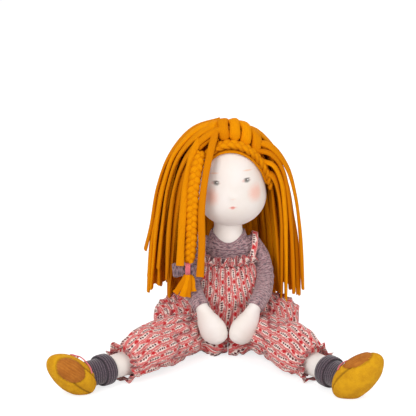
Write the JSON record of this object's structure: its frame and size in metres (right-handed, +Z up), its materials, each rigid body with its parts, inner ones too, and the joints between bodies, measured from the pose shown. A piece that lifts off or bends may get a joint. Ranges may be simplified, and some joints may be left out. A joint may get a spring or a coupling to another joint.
{
  "type": "seated rag doll",
  "caption": "Seated cloth doll with long strips of jersey hair, sweater, romper, socks and soft shoes; nodding head, swinging arms and legs.",
  "frame": {"origin": "middle of the flat under the seat, on the floor", "axes": "+X to the doll's left, +Y behind it, +Z up"},
  "size_m": [0.3585, 0.2447, 0.2693],
  "materials": {
    "jersey": "smooth cotton jersey",
    "hair": "rolled jersey strips",
    "knit": "marled fine knit",
    "print": "printed gathered cotton",
    "rib": "ribbed knit",
    "suede": "suede",
    "plug": "ribbed suede",
    "cord": "round cord"
  },
  "bodies": {
    "torso": {"body": "jersey", "sweater": "knit", "romper_body": "print", "bib_ruffle_front": "print", "bib_ruffle_back": "print", "strap_left": "print", "strap_right": "print"},
    "head": {"head": "jersey", "neck": "jersey", "hair_cap": "hair", "headband_braid": "hair", "hairline_strip": "hair", "crown_loops": "hair", "front_strip_long": "hair", "front_strip_short": "hair", "side_braid": "hair", "braid_bow": "knit", "braid_tie": "cord", "braid_ends": "hair", "hair_outer_left": "hair", "hair_middle_left": "hair", "hair_inner_left": "hair", "hair_outer_right": "hair", "hair_middle_right": "hair", "hair_inner_right": "hair"},
    "arm_left": {"arm_left": "jersey", "sleeve_left": "knit"},
    "arm_right": {"arm_right": "jersey", "sleeve_right": "knit"},
    "leg_left": {"leg_left": "jersey", "romper_leg_left": "print", "ankle_ruffle_left": "print", "sock_left": "rib", "sock_cuff_left": "rib", "shoe_left": "suede", "shoe_plug_left": "plug", "lace_left": "cord"},
    "leg_right": {"leg_right": "jersey", "romper_leg_right": "print", "ankle_ruffle_right": "print", "sock_right": "rib", "sock_cuff_right": "rib", "shoe_right": "suede", "shoe_plug_right": "plug", "lace_right": "cord"}
  },
  "joints": [
    {"name": "neck_nod", "type": "hinge", "parent": "torso", "child": "head", "pos_m": [0, -0.004, 0.132], "axis": [1, 0, 0], "range_deg": [-10, 10], "deforming": ["hair_outer_left", "hair_middle_left", "hair_inner_left", "hair_outer_right", "hair_middle_right", "hair_inner_right", "front_strip_long", "front_strip_short", "side_braid", "braid_bow", "braid_tie", "braid_ends"]},
    {"name": "shoulder_left", "type": "hinge", "parent": "torso", "child": "arm_left", "pos_m": [0.028, -0.003, 0.1215], "axis": [-0.8619, 0, 0.507], "range_deg": [0, 80], "deforming": ["strap_left"]},
    {"name": "shoulder_right", "type": "hinge", "parent": "torso", "child": "arm_right", "pos_m": [-0.028, -0.003, 0.1215], "axis": [-0.8619, 0, -0.507], "range_deg": [0, 80], "deforming": ["strap_right"]},
    {"name": "hip_left", "type": "hinge", "parent": "torso", "child": "leg_left", "pos_m": [0, 0, 0.031], "axis": [1, 0, 0], "range_deg": [0, 80]},
    {"name": "hip_right", "type": "hinge", "parent": "torso", "child": "leg_right", "pos_m": [0, 0, 0.031], "axis": [1, 0, 0], "range_deg": [0, 80]}
  ]
}
